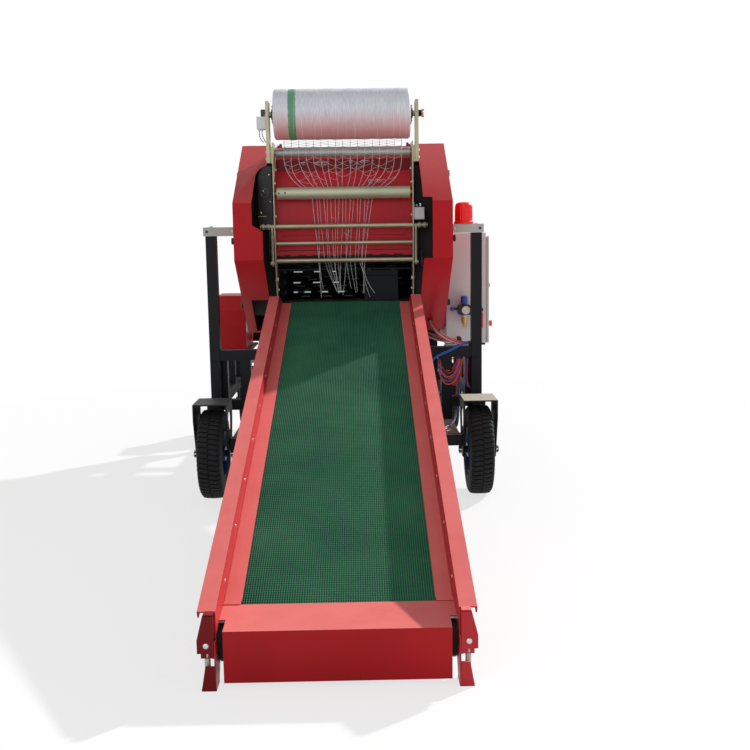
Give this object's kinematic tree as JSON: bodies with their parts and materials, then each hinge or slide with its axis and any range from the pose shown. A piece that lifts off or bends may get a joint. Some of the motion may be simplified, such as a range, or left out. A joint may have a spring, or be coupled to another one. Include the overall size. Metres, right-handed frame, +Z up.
{
  "type": "round baler",
  "caption": "Towed small round baler: belt feed conveyor, roller bale chamber with swing-up tailgate, net wrapping unit and control cabinet on a four-wheeled tube frame.",
  "frame": {"origin": "centre of the machine's footprint, on the floor", "axes": "+X to the machine's right, +Y from the conveyor's foot to the tow eye, +Z up"},
  "size_m": [1.132, 2.84, 1.438],
  "materials": {
    "tyre_rubber": "matte black rubber",
    "black_paint": "satin black powder coat",
    "red_paint": "semi-gloss deep red powder coat",
    "yellow_zinc": "pale yellow passivated zinc",
    "roller_steel": "bare rolled steel",
    "pale_grey_paint": "light grey powder coat",
    "net_plastic": "white knitted polyethylene net",
    "pale_plastic": "off-white moulded plastic",
    "green_belt": "dark green PVC belt, ribbed",
    "beacon_red": "bright red gloss plastic",
    "regulator_blue": "blue and black moulded plastic",
    "cast_alloy": "cast aluminium",
    "hose_blue": "blue and white polyurethane air hose",
    "hose_orange": "orange polyurethane air hose"
  },
  "bodies": {
    "chassis": {"lower_frame": "black_paint", "deck_frame": "black_paint", "side_frame_left": "black_paint", "side_frame_right": "black_paint", "arm_left": "pale_grey_paint", "arm_right": "pale_grey_paint", "fork_front_left": "black_paint", "fork_front_right": "black_paint", "fork_rear_left": "black_paint", "fork_rear_right": "black_paint", "chamber_side_left": "black_paint", "chamber_side_right": "black_paint", "front_panel": "red_paint", "chamber_belly": "black_paint", "lower_rollers": "roller_steel", "upper_rollers": "roller_steel", "cover_left": "red_paint", "cover_right": "red_paint", "chain_guard": "black_paint", "net_frame": "yellow_zinc", "net_sheet": "net_plastic", "net_brake": "pale_plastic", "sensor_box": "pale_plastic", "control_cabinet": "pale_grey_paint", "alarm_beacon": "beacon_red", "air_regulator": "regulator_blue", "valve_block": "cast_alloy", "motor_guard": "red_paint", "motor_block": "cast_alloy", "hose_bundle_upper": "hose_blue", "hose_loop": "hose_orange", "hose_run_lower": "hose_orange"},
    "wheel_front_left_spin": {"wheel_front_left": "tyre_rubber"},
    "wheel_front_right_spin": {"wheel_front_right": "tyre_rubber"},
    "wheel_rear_left_spin": {"wheel_rear_left": "tyre_rubber"},
    "wheel_rear_right_spin": {"wheel_rear_right": "tyre_rubber"},
    "feed_upper": {"feed_roller_upper": "roller_steel"},
    "feed_lower": {"feed_roller_lower": "roller_steel"},
    "tailgate_swing": {"tailgate": "red_paint", "tailgate_rollers": "roller_steel"},
    "roll": {"net_roll": "net_plastic", "roll_spindle": "black_paint"},
    "net_top": {"top_net_roller": "yellow_zinc"},
    "net_feed": {"net_feed_tube": "yellow_zinc"},
    "knife": {"net_knife": "yellow_zinc"},
    "conveyor": {"conveyor_frame": "red_paint", "conveyor_belt": "green_belt", "tail_cover": "red_paint", "conveyor_leg_left": "red_paint", "conveyor_leg_right": "red_paint"},
    "head": {"head_drum": "roller_steel"},
    "tail": {"tail_drum": "roller_steel"},
    "door": {"cabinet_door": "pale_grey_paint"}
  },
  "joints": [
    {"name": "axle_front_left", "type": "hinge", "parent": "chassis", "child": "wheel_front_left_spin", "pos_m": [-0.477, 0.07, 0.155], "axis": [1, 0, 0], "continuous": true},
    {"name": "axle_front_right", "type": "hinge", "parent": "chassis", "child": "wheel_front_right_spin", "pos_m": [0.445, 0.07, 0.155], "axis": [1, 0, 0], "continuous": true},
    {"name": "axle_rear_left", "type": "hinge", "parent": "chassis", "child": "wheel_rear_left_spin", "pos_m": [-0.477, 1.232, 0.155], "axis": [1, 0, 0], "continuous": true},
    {"name": "axle_rear_right", "type": "hinge", "parent": "chassis", "child": "wheel_rear_right_spin", "pos_m": [0.445, 1.232, 0.155], "axis": [1, 0, 0], "continuous": true},
    {"name": "feed_upper_turn", "type": "hinge", "parent": "chassis", "child": "feed_upper", "pos_m": [0, 0.53677, 0.82355], "axis": [1, 0, 0], "continuous": true},
    {"name": "feed_lower_turn", "type": "hinge", "parent": "chassis", "child": "feed_lower", "pos_m": [0, 0.69446, 0.61429], "axis": [1, 0, 0], "continuous": true},
    {"name": "tailgate_hinge", "type": "hinge", "parent": "chassis", "child": "tailgate_swing", "pos_m": [0, 0.86, 1.266], "axis": [1, 0, 0], "range_deg": [0, 65]},
    {"name": "net_roll_turn", "type": "hinge", "parent": "chassis", "child": "roll", "pos_m": [0, 0.443, 1.346], "axis": [1, 0, 0], "continuous": true},
    {"name": "top_roller_turn", "type": "hinge", "parent": "chassis", "child": "net_top", "pos_m": [0, 0.505, 1.213], "axis": [1, 0, 0], "continuous": true},
    {"name": "feed_tube_turn", "type": "hinge", "parent": "chassis", "child": "net_feed", "pos_m": [0, 0.45, 1.06], "axis": [1, 0, 0], "continuous": true},
    {"name": "knife_swing", "type": "hinge", "parent": "chassis", "child": "knife", "pos_m": [0, 0.44, 0.937], "axis": [-1, 0, 0], "range_deg": [0, 25]},
    {"name": "conveyor_tilt", "type": "hinge", "parent": "chassis", "child": "conveyor", "pos_m": [0, 0.4726, 0.6078], "axis": [-1, 0, 0], "range_deg": [0, 20]},
    {"name": "head_drum_turn", "type": "hinge", "parent": "conveyor", "child": "head", "pos_m": [0, 0.4726, 0.6078], "axis": [1, 0, 0], "continuous": true},
    {"name": "tail_drum_turn", "type": "hinge", "parent": "conveyor", "child": "tail", "pos_m": [0, -1.31467, 0.07499], "axis": [1, 0, 0], "continuous": true},
    {"name": "door_hinge", "type": "hinge", "parent": "chassis", "child": "door", "pos_m": [0.55, 0.89, 0.681], "axis": [0, 0, 1], "range_deg": [0, 110]}
  ],
  "couplings": [
    {"joint": "feed_lower_turn", "follows": "feed_upper_turn", "ratio": 1},
    {"joint": "tail_drum_turn", "follows": "head_drum_turn", "ratio": 1}
  ]
}
